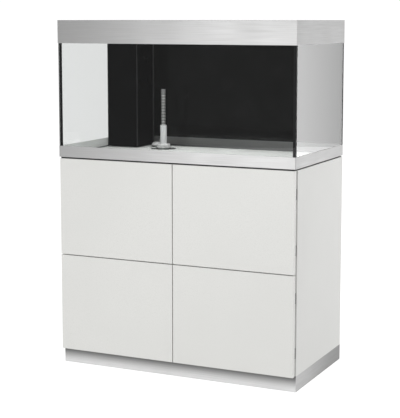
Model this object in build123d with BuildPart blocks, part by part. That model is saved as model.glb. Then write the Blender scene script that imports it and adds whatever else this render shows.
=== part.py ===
from build123d import *
import os

# Aquarium on a cabinet: a glass tank with a black rear wall and a black corner shaft, a brushed metal
# base frame and hood, and a white cabinet with four handleless doors on a recessed metal plinth.
# Millimetres. +Z is up, the front faces -Y, and the origin is on the floor under the middle.

# Overall sizes, from the floor up
width = 1024.0  # over the metal faces of the hood and the base frame
depth = 546.0  # over the same faces, front to back
plinth_height = 62.5
cabinet_height = 790.5  # carcass and doors, above the plinth
shadow_gap = 6.0  # dark gap between the carcass and the base frame
base_frame_height = 45.0
glass_visible = 414.0  # glass that shows between the base frame and the hood
hood_height = 92.0

# Cabinet
board_t = 18.0
back_t = 8.0
door_t = 18.0
door_gap = 3.5
door_side_inset = 3.5  # door edge behind the metal faces, at the sides
door_reveal = 10.0  # open gap between the doors and the carcass
carcass_side_inset = 1.0
carcass_rear_inset = 2.0
back_inset = 2.0  # back panel in from the carcass's rear edge
plinth_recess = 24.5  # plinth front behind the door fronts
plinth_t = 16.0
shelf_clearance = 1.0
shelf_pin_r = 2.5
shelf_pin_depth = 8.0  # in the panel, and the same under the shelf
shelf_pin_inset = 60.0
shelf_recess = 10.0  # shelf front behind the carcass front
door_edge_r = 1.0
hose_slot = (170.0, 90.0)  # rear outlet behind the filter bay
cable_hole_r = 30.0  # rear outlet behind the shelf bay
outlet_drop = 110.0  # outlet centres below the carcass top

# Tank
glass_t = 10.0
floor_glass_t = 8.0
shaft_glass_t = 6.0
glass_edge = 0.6  # ground edge of every pane
face_t = 1.5  # metal faces on the glass
film_t = 0.6
mat_t = 2.0
mat_inset = 10.0
plate_t = 5.0
plate_inset = 6.0
glue_t = 1.0
bead = 3.0
shaft_size = 156.0  # corner shaft, from the outer side and rear faces

# Fittings through the tank floor
return_from_left = 264.0
return_from_rear = 126.0
suction_from_left = 201.0
suction_from_rear = 52.0
stem_wall = 4.8
stem_length = 44.0  # below the tank floor's top
stem_clearance = 1.0  # round the stem, in the tank floor
flange_r = 29.0
return_flange_t = 5.0
suction_flange_t = 12.0
gasket_t = 2.0
return_cutout_r = 55.0
suction_cutout_r = 32.0
nut_flats = 47.0
nut_t = 11.0
union_t = 10.5
adaptor_r = 14.0
adaptor_clearance = 0.2  # round the adaptor, in the stem
adaptor_depth = 12.0  # below the return flange's top
adaptor_top = 97.0  # above the tank floor
hose_r = 8.2
hose_bore_r = 6.5
rib_r = 9.4
rib_pitch = 6.5
hose_seat = 22.0  # hose length inside the adaptor
hose_top = 232.0
nozzle_r = 9.6
nozzle_seat = 6.0
nozzle_top = 250.0
tail_r = 8.0
tail_bore_r = 6.0
tail_plain = 28.0
barb_r = 9.2
barb_pitch = 7.0
barb_count = 3
collar_r = 25.0
collar_t = 20.0
running_fit = 0.05  # radial clearance of every shaft and pin

# Hood
hood_wall = 1.2
hood_overlap = 12.0  # hood below the rim of the glass
ledge_w = 16.0
ledge_t = 2.0
hem_w = 5.0
hem_t = 1.5
lip_w = 12.0
lid_drop = 5.5  # lid face below the hood's top edge
lid_t = 4.0
lid_clearance = 1.5
lid_seam = 2.0
cover_depth = 212.0  # fixed rear cover, from the rear face to the seam
hand_hole = (110.0, 40.0)  # hole in the lid for feeding and for lifting it
hand_hole_r = 5.0
hand_hole_from_edge = 38.0  # its centre in from the lid's front edge
grommet_r = 30.0
grommet_bore_r = 15.0
grommet_from_left = 130.0
grommet_from_rear = 90.0
light_w = 60.0
light_t = 22.0
lens_t = 4.0
lens_margin = 6.0
light_end = 42.0  # light bar short of the outer side faces
light_from_front = (163.0, 288.0)  # centre lines of the two light bars
light_drop = 17.0  # below the lid's lower face
bracket_t = 2.5
bracket_leg = 34.0
bracket_inset = 14.0  # corner brackets short of the ledge and the lid
light_arm_w = 40.0
light_arm_reach = 30.0  # over each end of a light bar

# Door hinges and push latches
hinge_edge = 3.5  # hinge axis in from the door's outer edge
hinge_back = 4.5  # hinge axis behind the door's back
knuckle_r = 3.8
hinge_pin_r = 2.0
door_knuckle = 8.0  # half length of the door's knuckle
plate_knuckle = 12.0  # length of each of the plate's two knuckles
knuckle_gap = 0.3
hinge_from_end = 90.0
cup_r = 17.4
cup_depth = 12.0
cup_offset = 26.0  # cup centre in from the door's outer edge
leaf_t = 1.2
plate_leaf_t = 3.0
plate_foot = 50.0  # hinge plate behind the carcass front
cup_wall = 1.2
cup_floor = 1.0
cup_fit = 0.1
latch_width = 14.0
latch_length = 70.0
latch_floor = 6.0
latch_from_end = 60.0
plunger_r = 4.0
plunger_head_r = 5.5
plunger_head_t = 3.0
plunger_rest_gap = 0.3
plunger_tail = 48.0  # plunger length inside the latch body
lid_hinge_x = 330.0
lid_knuckle_r = 2.4
lid_pin_r = 1.0
lid_knuckle = 7.0  # half length of the lid's knuckle
lid_hinge_half = 20.0
lid_leaf_w = 22.0
lid_leaf_gap = 4.0

# Levels and faces that several pieces share
half_w = width / 2
half_d = depth / 2
carcass_z = plinth_height
carcass_top = carcass_z + cabinet_height
frame_z = carcass_top + shadow_gap
frame_top = frame_z + base_frame_height
hood_z = frame_top + glass_visible
hood_top = hood_z + hood_height
rim_z = hood_z + hood_overlap
side_x = half_w - carcass_side_inset
bay_x = side_x - board_t
door_back = -half_d + door_t
carcass_front = door_back + door_reveal
carcass_rear = half_d - carcass_rear_inset
back_face = carcass_rear - back_inset - back_t
plate_z = carcass_top
mat_z = plate_z + plate_t
floor_z = mat_z + mat_t
floor_top = floor_z + floor_glass_t
glass_x = half_w - face_t
glass_y = half_d - face_t
inner_x = glass_x - glass_t
inner_y = glass_y - glass_t
shaft_x = -half_w + shaft_size
shaft_y = half_d - shaft_size
return_xy = (-half_w + return_from_left, half_d - return_from_rear)
suction_xy = (-half_w + suction_from_left, half_d - suction_from_rear)
stem_bore_r = adaptor_r + adaptor_clearance
stem_r = stem_bore_r + stem_wall
lid_top = hood_top - lid_drop
lid_z = lid_top - lid_t
lid_seam_y = half_d - cover_depth
light_rows = [-half_d + from_front for from_front in light_from_front]
light_length = width - 2 * light_end
door_outer_x = half_w - door_side_inset
door_width = door_outer_x - door_gap / 2
door_height = (cabinet_height - door_gap) / 2
hinge_x = door_outer_x - hinge_edge
hinge_y = door_back + hinge_back
door_rows = {"lower": carcass_z, "upper": carcass_z + door_height + door_gap}
hands = {"left": -1, "right": 1}
# Height of each push latch: near the bottom of the lower doors and the top of the upper ones
latch_z = {"lower": carcass_z + latch_from_end, "upper": carcass_top - latch_from_end}

pieces = []


def keep(piece, label):
    """Label a finished piece and keep it for export."""
    piece.part.label = label
    pieces.append(piece)


def panel(x_span, y_span, z_span, holes=(), edge=0.0):
    """Flat board or pane between two limits on each axis, with upright round holes and eased edges."""
    with BuildPart() as piece:
        with BuildSketch(Plane.XY.offset(z_span[0])):
            with Locations(((x_span[0] + x_span[1]) / 2, (y_span[0] + y_span[1]) / 2)):
                Rectangle(x_span[1] - x_span[0], y_span[1] - y_span[0])
            for x, y, r in holes:
                with Locations((x, y)):
                    Circle(r, mode=Mode.SUBTRACT)
        extrude(amount=z_span[1] - z_span[0])
        if edge:
            chamfer(piece.edges().filter_by(GeomType.LINE), edge)
    return piece


def turned(centre, outline):
    """Round piece about an upright axis, from an outline of (radius, height) points."""
    x, y = centre
    with BuildPart() as piece:
        with BuildSketch(Plane(origin=(x, y, 0), x_dir=(1, 0, 0), z_dir=(0, -1, 0))):
            with BuildLine():
                Polyline(*outline, close=True)
            make_face()
        revolve(axis=Axis((x, y, 0), (0, 0, 1)))
    return piece


def mitred_rail(inward, outer_x, outer_y, blocks, middle_y=0.0):
    """One side of a four-sided frame, mitred at both ends.

    inward points from this side to the middle. blocks are the section's rectangles, as the
    limits (inward from, inward to, height from, height to) from the outer face.
    """
    along = inward.cross(Vector(0, 0, 1))
    reach = outer_x if inward.X else outer_y
    half_length = outer_y if inward.X else outer_x
    face = Vector(0, middle_y, 0) - inward * reach
    with BuildPart() as piece:
        with BuildSketch(Plane(origin=face, x_dir=inward, z_dir=along)):
            for near, far, low, high in blocks:
                with Locations(((near + far) / 2, (low + high) / 2)):
                    Rectangle(far - near, high - low)
        extrude(amount=half_length, both=True)
        for end in (along, along * -1):
            split(bisect_by=Plane(origin=face + end * half_length, z_dir=inward + end), keep=Keep.BOTTOM)
    return piece


front_in, rear_in = Vector(0, 1, 0), Vector(0, -1, 0)
left_in, right_in = Vector(1, 0, 0), Vector(-1, 0, 0)

# ---------------------------------------------------------------- cabinet carcass

shelf_z = carcass_z + (cabinet_height - board_t) / 2
pin_z = shelf_z - shelf_pin_r
pin_ys = (carcass_front + shelf_pin_inset, back_face - shelf_pin_inset)

for hand, sign in hands.items():
    with BuildPart() as side_panel:
        with BuildSketch(Plane.XY.offset(carcass_z)):
            with Locations((sign * (side_x - board_t / 2), (carcass_front + carcass_rear) / 2)):
                Rectangle(board_t, carcass_rear - carcass_front)
        extrude(amount=cabinet_height)
        chamfer(side_panel.edges().filter_by(Axis.Z), 0.5)
        if hand == "right":
            with Locations(*[Pos(bay_x, y, pin_z) * Rot(0, 90, 0) for y in pin_ys]):
                Cylinder(shelf_pin_r + running_fit, 2 * shelf_pin_depth, mode=Mode.SUBTRACT)
    keep(side_panel, f"side_panel_{hand}")

bay_span = (-bay_x, bay_x)
board_y = (carcass_front, back_face)
keep(panel(bay_span, board_y, (carcass_z, carcass_z + board_t)), "cabinet_bottom")

cutouts = [(*return_xy, return_cutout_r), (*suction_xy, suction_cutout_r)]
keep(panel(bay_span, board_y, (carcass_top - board_t, carcass_top), cutouts), "cabinet_top")

with BuildPart() as centre_divider:
    with BuildSketch(Plane.XY.offset(carcass_z + board_t)):
        with Locations((0, (carcass_front + back_face) / 2)):
            Rectangle(board_t, back_face - carcass_front)
    extrude(amount=cabinet_height - 2 * board_t)
    with Locations(*[Pos(board_t / 2, y, pin_z) * Rot(0, 90, 0) for y in pin_ys]):
        Cylinder(shelf_pin_r + running_fit, 2 * shelf_pin_depth, mode=Mode.SUBTRACT)
keep(centre_divider, "centre_divider")

with BuildPart() as back_panel:
    with BuildSketch(Plane.XZ.offset(-back_face)):
        with Locations((0, (carcass_z + carcass_top) / 2)):
            Rectangle(2 * bay_x, cabinet_height)
        with Locations((-bay_x / 2, carcass_top - outlet_drop)):
            RectangleRounded(*hose_slot, hose_slot[1] / 4, mode=Mode.SUBTRACT)
        with Locations((bay_x / 2, carcass_top - outlet_drop)):
            Circle(cable_hole_r, mode=Mode.SUBTRACT)
    extrude(amount=-back_t)
keep(back_panel, "back_panel")

shelf_x = (board_t / 2 + shelf_clearance, bay_x - shelf_clearance)
shelf_y = (carcass_front + shelf_recess, back_face - shelf_clearance)
keep(panel(shelf_x, shelf_y, (shelf_z, shelf_z + board_t), edge=0.5), "shelf")

with BuildPart() as shelf_pins:
    for x in (board_t / 2, bay_x):
        with Locations(*[Pos(x, y, pin_z) * Rot(0, 90, 0) for y in pin_ys]):
            Cylinder(shelf_pin_r, 2 * shelf_pin_depth)
keep(shelf_pins, "shelf_pins")

# ---------------------------------------------------------------- plinth

plinth_y0 = -half_d + plinth_recess
plinth_middle = (plinth_y0 + carcass_rear) / 2
plinth_half_d = (carcass_rear - plinth_y0) / 2
plinth_section = [(0, plinth_t, 0, plinth_height)]


def plinth_board(inward):
    """One plinth board on the floor, mitred to its neighbours."""
    return mitred_rail(inward, side_x, plinth_half_d, plinth_section, plinth_middle)


with BuildPart() as plinth_rails:
    add(plinth_board(front_in).part)
    add(plinth_board(rear_in).part)
keep(plinth_rails, "plinth_rails")

with BuildPart() as plinth_sides:
    add(plinth_board(left_in).part)
    add(plinth_board(right_in).part)
keep(plinth_sides, "plinth_sides")

# ---------------------------------------------------------------- doors, hinges and push latches

hinge_half = door_knuckle + knuckle_gap + plate_knuckle


def hinge_heights(door_z):
    """Heights of the two hinges of a door that starts at door_z."""
    return (door_z + hinge_from_end, door_z + door_height - hinge_from_end)


for row, door_z in door_rows.items():
    for hand, sign in hands.items():
        cup_x = sign * (door_outer_x - cup_offset)

        with BuildPart() as door:
            with BuildSketch(Plane.XY.offset(door_z)):
                with Locations((sign * (door_outer_x - door_width / 2), -half_d + door_t / 2)):
                    Rectangle(door_width, door_t)
            extrude(amount=door_height)
            fillet(door.edges(), door_edge_r)
            for z in hinge_heights(door_z):
                with Locations(Pos(cup_x, door_back, z) * Rot(90, 0, 0)):
                    Cylinder(cup_r + cup_fit, 2 * cup_depth, mode=Mode.SUBTRACT)
        keep(door, f"door_{row}_{hand}")

        # Cup, rim and knuckle that are fixed to the door at each hinge
        with BuildPart() as door_hinges:
            for z in hinge_heights(door_z):
                with Locations(Pos(cup_x, door_back - cup_depth / 2, z) * Rot(90, 0, 0)):
                    Cylinder(cup_r, cup_depth)
                with Locations((cup_x, door_back + leaf_t / 2, z)):
                    Box(2 * (cup_r + leaf_t), leaf_t, 2 * hinge_half)
                with Locations(Pos(cup_x, door_back - cup_depth / 2 + 2 * cup_floor, z) * Rot(90, 0, 0)):
                    Cylinder(cup_r - cup_wall, cup_depth + 2 * cup_floor, mode=Mode.SUBTRACT)
                with Locations(((cup_x + sign * hinge_x) / 2, door_back + leaf_t, z)):
                    Box(abs(hinge_x - abs(cup_x)), 2 * leaf_t, 2 * door_knuckle)
                with Locations((sign * hinge_x, hinge_y, z)):
                    Cylinder(knuckle_r, 2 * door_knuckle)
                    Cylinder(hinge_pin_r + running_fit, 2 * door_knuckle, mode=Mode.SUBTRACT)
        keep(door_hinges, f"door_{row}_{hand}_hinges")

        # Plunger that pushes the door open, at the divider
        plunger_tip = door_back + plunger_rest_gap
        plunger_end = carcass_front + plunger_tail
        latch_x = sign * (board_t + latch_width) / 2
        with BuildPart() as plunger:
            with BuildSketch(Plane(origin=(latch_x, plunger_tip, latch_z[row]), z_dir=(0, 1, 0))):
                Circle(plunger_head_r)
            extrude(amount=plunger_head_t)
            with BuildSketch(Plane(origin=(latch_x, plunger_tip, latch_z[row]), z_dir=(0, 1, 0))):
                Circle(plunger_r)
            extrude(amount=plunger_end - plunger_tip)
            fillet(plunger.edges().group_by(Axis.Y)[0], 0.8)
        keep(plunger, f"latch_plunger_{row}_{hand}")

# Plates on the side panels that carry the fixed knuckles
with BuildPart() as hinge_plates:
    for door_z in door_rows.values():
        for sign in hands.values():
            for z in hinge_heights(door_z):
                lug_y = (hinge_y - 1.0, hinge_y + 2.0)
                foot_y = carcass_front + plate_foot
                with Locations((sign * (bay_x - plate_leaf_t / 2), (lug_y[0] + foot_y) / 2, z)):
                    Box(plate_leaf_t, foot_y - lug_y[0], 2 * hinge_half)
                for side in (-1, 1):
                    knuckle_z = z + side * (door_knuckle + knuckle_gap + plate_knuckle / 2)
                    lug_x = (bay_x - plate_leaf_t, hinge_x)
                    with Locations((sign * sum(lug_x) / 2, sum(lug_y) / 2, knuckle_z)):
                        Box(lug_x[1] - lug_x[0], lug_y[1] - lug_y[0], plate_knuckle)
                    with Locations((sign * hinge_x, hinge_y, knuckle_z)):
                        Cylinder(knuckle_r, plate_knuckle)
                        Cylinder(hinge_pin_r + running_fit, plate_knuckle, mode=Mode.SUBTRACT)
                # The door's own knuckle and strap turn in the slot between the two lugs
                slot_h = 2 * (door_knuckle + knuckle_gap)
                with Locations((sign * (bay_x - plate_leaf_t / 2), carcass_front - door_reveal, z)):
                    Box(4 * plate_leaf_t, 2 * door_reveal, slot_h, mode=Mode.SUBTRACT)
keep(hinge_plates, "hinge_plates")

with BuildPart() as latch_bodies:
    for row in door_rows:
        for sign in hands.values():
            latch_x = sign * (board_t + latch_width) / 2
            middle_y = carcass_front + latch_length / 2
            with Locations((latch_x, middle_y, latch_z[row])):
                Box(latch_width, latch_length, latch_width)
            with Locations(Pos(latch_x, middle_y - latch_floor, latch_z[row]) * Rot(90, 0, 0)):
                Cylinder(plunger_r + running_fit, latch_length, mode=Mode.SUBTRACT)
keep(latch_bodies, "latch_bodies")

# ---------------------------------------------------------------- tank base

plate_x, plate_y = half_w - plate_inset, half_d - plate_inset
keep(panel((-plate_x, plate_x), (-plate_y, plate_y), (plate_z, mat_z), cutouts), "support_plate")

mat_x, mat_y = half_w - mat_inset, half_d - mat_inset
keep(panel((-mat_x, mat_x), (-mat_y, mat_y), (mat_z, floor_z), cutouts), "safety_mat")

stem_hole_r = stem_r + stem_clearance
stem_holes = [(*return_xy, stem_hole_r), (*suction_xy, stem_hole_r)]
keep(panel((-glass_x, glass_x), (-glass_y, glass_y), (floor_z, floor_top), stem_holes), "floor_pane")

with BuildPart() as base_frame:
    with BuildSketch(Plane.XY.offset(frame_z)):
        RectangleRounded(width, depth, 2.0)
        Rectangle(2 * glass_x, 2 * glass_y, mode=Mode.SUBTRACT)
    extrude(amount=base_frame_height)
    chamfer(base_frame.edges().group_by(Axis.Z)[-1], 0.4)
keep(base_frame, "base_frame")

# ---------------------------------------------------------------- tank walls

wall_z = (floor_top, rim_z)
wall_x = (-glass_x, glass_x)
keep(panel(wall_x, (-glass_y, -inner_y), wall_z, edge=glass_edge), "front_pane")
keep(panel(wall_x, (inner_y, glass_y), wall_z, edge=glass_edge), "rear_pane")

side_pane_y = (-inner_y + glue_t, inner_y - glue_t)
keep(panel((-glass_x, -inner_x), side_pane_y, wall_z, edge=glass_edge), "left_pane")
keep(panel((inner_x, glass_x), side_pane_y, wall_z, edge=glass_edge), "right_pane")

keep(panel(wall_x, (glass_y, glass_y + film_t), (frame_top, hood_z)), "back_film")

shaft_front_y = (shaft_y, shaft_y + shaft_glass_t)
shaft_front_x = (-inner_x, shaft_x - shaft_glass_t)
keep(panel(shaft_front_x, shaft_front_y, (floor_top, hood_z), edge=glass_edge), "shaft_front_pane")
shaft_side_x = (shaft_x - shaft_glass_t, shaft_x)
keep(panel(shaft_side_x, (shaft_y, inner_y), (floor_top, hood_z), edge=glass_edge), "shaft_side_pane")

# Glue layer and inside bead of one upright corner: toward_x and toward_y point out of the tank
with BuildPart() as corner_seams:
    with BuildSketch(Plane.XY.offset(floor_top + bead)):
        for toward_x in (-1, 1):
            for toward_y in (-1, 1):
                layer_y = inner_y - glue_t
                with BuildLine():
                    Polyline(
                        (toward_x * (glass_x - glass_edge), toward_y * inner_y),
                        (toward_x * (glass_x - glass_edge), toward_y * layer_y),
                        (toward_x * inner_x, toward_y * layer_y),
                        (toward_x * inner_x, toward_y * (layer_y - bead)),
                        (toward_x * (inner_x - bead), toward_y * inner_y),
                        close=True,
                    )
                make_face()
    extrude(amount=rim_z - floor_top - bead - glass_edge)
    # Beads in the two outer corners of the shaft
    with BuildSketch(Plane.XY.offset(floor_top + bead)):
        with BuildLine():
            Polyline((shaft_x, inner_y), (shaft_x + bead, inner_y), (shaft_x, inner_y - bead), close=True)
        make_face()
        with BuildLine():
            Polyline((-inner_x, shaft_y), (-inner_x + bead, shaft_y), (-inner_x, shaft_y - bead), close=True)
        make_face()
    extrude(amount=hood_z - floor_top - 2 * bead)
keep(corner_seams, "corner_seams")

# Bead round the tank floor, parted where the shaft panes stand
with BuildPart() as floor_seam:
    with BuildSketch(Plane.XY.offset(floor_top)):
        Rectangle(2 * inner_x, 2 * inner_y)
    extrude(amount=bead)
    with BuildSketch(Plane.XY.offset(floor_top)):
        Rectangle(2 * (inner_x - bead), 2 * (inner_y - bead))
    extrude(amount=bead, taper=-45, mode=Mode.SUBTRACT)
    for x_span, y_span in ((shaft_front_x, shaft_front_y), (shaft_side_x, (shaft_y, inner_y))):
        with Locations((sum(x_span) / 2, sum(y_span) / 2, floor_top)):
            Box(x_span[1] - x_span[0], y_span[1] - y_span[0], 4 * bead, mode=Mode.SUBTRACT)
keep(floor_seam, "floor_seam")

# ---------------------------------------------------------------- fittings through the tank floor

gasket_top = floor_top + gasket_t
stem_end = floor_top - stem_length


def bulkhead(centre, flange):
    """Threaded stem through the tank floor with a flange outline on top of its gasket."""
    stem = [(stem_bore_r, stem_end), (stem_r, stem_end), (stem_r, gasket_top)]
    return turned(centre, stem + flange + [(stem_bore_r, flange[-1][1])])


return_flange_top = gasket_top + return_flange_t
return_flange = [
    (flange_r, gasket_top),
    (flange_r, return_flange_top - 1.5),
    (flange_r - 1.5, return_flange_top),
    (stem_bore_r, return_flange_top),
]
keep(bulkhead(return_xy, return_flange[:-1]), "return_bulkhead")

suction_flange_top = gasket_top + suction_flange_t
suction_flange = [
    (flange_r, gasket_top),
    (flange_r, gasket_top + 2.5),
    (flange_r - 6.0, suction_flange_top),
]
keep(bulkhead(suction_xy, suction_flange), "suction_bulkhead")

with BuildPart() as bulkhead_gaskets:
    with BuildSketch(Plane.XY.offset(floor_top)):
        with Locations(return_xy, suction_xy):
            Circle(flange_r + 1.5)
            Circle(stem_r + running_fit, mode=Mode.SUBTRACT)
    extrude(amount=gasket_t)
keep(bulkhead_gaskets, "bulkhead_gaskets")

with BuildPart() as bulkhead_nuts:
    with BuildSketch(Plane.XY.offset(floor_z - nut_t)):
        with Locations(return_xy, suction_xy):
            RegularPolygon(nut_flats / 2, 6, major_radius=False)
            Circle(stem_r + running_fit, mode=Mode.SUBTRACT)
    extrude(amount=nut_t)
    chamfer(bulkhead_nuts.faces().sort_by(Axis.Z)[0].outer_wire().edges(), 1.0)
keep(bulkhead_nuts, "bulkhead_nuts")

# Capped collar on the stem's end, drawn down to a barbed tail for a hose
with BuildPart() as hose_tails:
    for x, y in (return_xy, suction_xy):
        collar_z = stem_end - 4.0
        tail_z = collar_z - tail_plain
        with BuildSketch(Plane(origin=(x, y, 0), x_dir=(1, 0, 0), z_dir=(0, -1, 0))):
            with BuildLine():
                Polyline(
                    (tail_bore_r, stem_end),
                    (stem_r + running_fit, stem_end),
                    (stem_r + running_fit, collar_z + collar_t),
                    (collar_r, collar_z + collar_t),
                    (collar_r, collar_z + 2.0),
                    (collar_r - 2.0, collar_z),
                    (tail_r, collar_z),
                    (tail_r, tail_z),
                    (tail_bore_r, tail_z),
                    close=True,
                )
            make_face()
            for turn in range(barb_count):
                barb_z = tail_z - turn * barb_pitch
                with BuildLine():
                    Polyline(
                        (tail_bore_r, barb_z),
                        (barb_r, barb_z),
                        (tail_r - 0.5, barb_z - barb_pitch),
                        (tail_bore_r, barb_z - barb_pitch),
                        close=True,
                    )
                make_face()
        revolve(axis=Axis((x, y, 0), (0, 0, 1)))
keep(hose_tails, "hose_tails")

union_z = return_flange_top + 0.5
union_nut = [
    (adaptor_r + running_fit, union_z),
    (flange_r - 3.0, union_z),
    (flange_r - 1.0, union_z + 2.0),
    (flange_r - 1.0, union_z + union_t - 2.5),
    (flange_r - 4.0, union_z + union_t),
    (adaptor_r + running_fit, union_z + union_t),
]
keep(turned(return_xy, union_nut), "return_union_nut")

adaptor_z = return_flange_top - adaptor_depth
adaptor_bore_r = hose_r + running_fit
adaptor_end = floor_top + adaptor_top
adaptor = [
    (hose_bore_r, adaptor_z),
    (adaptor_r, adaptor_z),
    (adaptor_r, adaptor_end - 1.0),
    (adaptor_r - 1.0, adaptor_end),
    (adaptor_bore_r, adaptor_end),
    (adaptor_bore_r, adaptor_end - hose_seat - 0.3),
    (hose_bore_r, adaptor_end - hose_seat - 0.3),
]
keep(turned(return_xy, adaptor), "return_adaptor")

# Ribbed riser hose: a plain end that turns in the adaptor, then evenly spaced ribs
hose_z = floor_top + adaptor_top - hose_seat
rib_z0 = floor_top + adaptor_top + rib_pitch / 2
rib_count = int((hose_top - adaptor_top - rib_pitch / 2) / rib_pitch)
with BuildPart() as return_hose:
    with BuildSketch(Plane(origin=(*return_xy, 0), x_dir=(1, 0, 0), z_dir=(0, -1, 0))):
        with Locations(((hose_bore_r + hose_r) / 2, (hose_z + floor_top + hose_top) / 2)):
            Rectangle(hose_r - hose_bore_r, floor_top + hose_top - hose_z)
        for turn in range(rib_count):
            rib_z = rib_z0 + turn * rib_pitch
            with BuildLine():
                Polyline(
                    (hose_r - 0.5, rib_z - 0.3 * rib_pitch),
                    (rib_r, rib_z - 0.18 * rib_pitch),
                    (rib_r, rib_z + 0.18 * rib_pitch),
                    (hose_r - 0.5, rib_z + 0.3 * rib_pitch),
                    close=True,
                )
            make_face()
    revolve(axis=Axis((*return_xy, 0), (0, 0, 1)))
keep(return_hose, "return_hose")

nozzle = [
    (hose_r, floor_top + hose_top - nozzle_seat),
    (nozzle_r, floor_top + hose_top - nozzle_seat),
    (nozzle_r, floor_top + nozzle_top - 1.0),
    (nozzle_r - 1.0, floor_top + nozzle_top),
    (hose_bore_r, floor_top + nozzle_top),
    (hose_bore_r, floor_top + hose_top),
    (hose_r, floor_top + hose_top),
]
keep(turned(return_xy, nozzle), "return_nozzle")

# ---------------------------------------------------------------- hood

hood_section = [
    (0, hood_wall, hood_z, hood_top),
    (0, ledge_w, rim_z, rim_z + ledge_t),
    (0, lip_w, lid_z - ledge_t, lid_z),
    (0, hem_w, hood_top - hem_t, hood_top),
]
for side, inward in {"front": front_in, "rear": rear_in, "left": left_in, "right": right_in}.items():
    keep(mitred_rail(inward, half_w, half_d, hood_section), f"hood_{side}")

# Angle brackets inside the four corners
bracket_z = (rim_z + bracket_inset, lid_z - bracket_inset)
corner_x, corner_y = half_w - hood_wall, half_d - hood_wall
with BuildPart() as hood_corner_brackets:
    with BuildSketch(Plane.XY.offset(bracket_z[0])):
        for sx in (-1, 1):
            for sy in (-1, 1):
                with Locations((sx * (corner_x - bracket_leg / 2), sy * (corner_y - bracket_t / 2))):
                    Rectangle(bracket_leg, bracket_t)
                with Locations((sx * (corner_x - bracket_t / 2), sy * (corner_y - bracket_leg / 2))):
                    Rectangle(bracket_t, bracket_leg)
    extrude(amount=bracket_z[1] - bracket_z[0])
keep(hood_corner_brackets, "hood_corner_brackets")

lid_half_w = half_w - hem_w - lid_clearance
lid_front = -half_d + hem_w + lid_clearance
cover_rear = half_d - hem_w - lid_clearance
grommet_xy = (-half_w + grommet_from_left, half_d - grommet_from_rear)

lid_span = (lid_front, lid_seam_y - lid_seam / 2)
lid_levels = (lid_z, lid_top)
with BuildPart() as hood_lid:
    with BuildSketch(Plane.XY.offset(lid_z)):
        with Locations((0, sum(lid_span) / 2)):
            Rectangle(2 * lid_half_w, lid_span[1] - lid_span[0])
        with Locations((0, lid_front + hand_hole_from_edge)):
            RectangleRounded(*hand_hole, hand_hole_r, mode=Mode.SUBTRACT)
    extrude(amount=lid_t)
    chamfer(hood_lid.faces().sort_by(Axis.Z)[-1].edges(), 0.6)
keep(hood_lid, "hood_lid")

cover_span = (lid_seam_y + lid_seam / 2, cover_rear)
cover_holes = [(*grommet_xy, grommet_r)]
keep(panel((-lid_half_w, lid_half_w), cover_span, lid_levels, cover_holes), "rear_cover")

grommet = [
    (grommet_bore_r, lid_z - 3.0),
    (grommet_r + 2.5, lid_z - 3.0),
    (grommet_r + 2.5, lid_z),
    (grommet_r - running_fit, lid_z),
    (grommet_r - running_fit, lid_top),
    (grommet_r + 2.5, lid_top),
    (grommet_r + 2.5, lid_top + 2.0),
    (grommet_bore_r, lid_top + 2.0),
]
keep(turned(grommet_xy, grommet), "cable_grommet")

# Small hinges on top of the lid and the cover
lid_axis_z = lid_top + lid_knuckle_r + running_fit


def lid_leaf(fore):
    """Leaves and knuckles of both lid hinges: fore is -1 on the lid and 1 on the fixed cover."""
    outer = fore > 0
    spans = [(-lid_hinge_half, -lid_knuckle - 0.2), (lid_knuckle + 0.2, lid_hinge_half)]
    with BuildPart() as leaf:
        for centre in (-lid_hinge_x, lid_hinge_x):
            leaf_y = lid_seam_y + fore * (lid_leaf_w + lid_leaf_gap) / 2
            with Locations((centre, leaf_y, lid_top + leaf_t / 2)):
                Box(2 * lid_hinge_half, lid_leaf_w - lid_leaf_gap, leaf_t)
            for x0, x1 in spans if outer else [(-lid_knuckle, lid_knuckle)]:
                middle = centre + (x0 + x1) / 2
                with Locations((middle, lid_seam_y + fore * lid_leaf_w / 4, lid_top + leaf_t / 2)):
                    Box(x1 - x0, lid_leaf_w / 2, leaf_t)
                with Locations(Pos(middle, lid_seam_y, lid_axis_z) * Rot(0, 90, 0)):
                    Cylinder(lid_knuckle_r, x1 - x0)
                    Cylinder(lid_pin_r + running_fit, x1 - x0, mode=Mode.SUBTRACT)
    return leaf


keep(lid_leaf(1), "lid_hinge_fixed")
keep(lid_leaf(-1), "lid_hinge_moving")

# Pins of the door hinges and the lid hinges
with BuildPart() as hinge_pins:
    for door_z in door_rows.values():
        for sign in hands.values():
            for z in hinge_heights(door_z):
                with Locations((sign * hinge_x, hinge_y, z)):
                    Cylinder(hinge_pin_r, 2 * hinge_half)
    for centre in (-lid_hinge_x, lid_hinge_x):
        with Locations(Pos(centre, lid_seam_y, lid_axis_z) * Rot(0, 90, 0)):
            Cylinder(lid_pin_r, 2 * lid_hinge_half)
keep(hinge_pins, "hinge_pins")

# ---------------------------------------------------------------- lights under the lid

light_top = lid_z - light_drop
with BuildPart() as light_bars:
    for y in light_rows:
        with BuildSketch(Plane.YZ.offset(-light_length / 2)):
            with Locations((y, light_top - light_t / 2)):
                RectangleRounded(light_w, light_t, 3.0)
            with Locations((y, light_top - light_t)):
                Rectangle(light_w - 2 * lens_margin, 2 * lens_t, mode=Mode.SUBTRACT)
        extrude(amount=light_length)
keep(light_bars, "light_bars")

with BuildPart() as light_lenses:
    for y in light_rows:
        with BuildSketch(Plane.YZ.offset(-light_length / 2)):
            with Locations((y, light_top - light_t + lens_t / 2)):
                Rectangle(light_w - 2 * lens_margin, lens_t)
        extrude(amount=light_length)
keep(light_lenses, "light_lenses")

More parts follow.
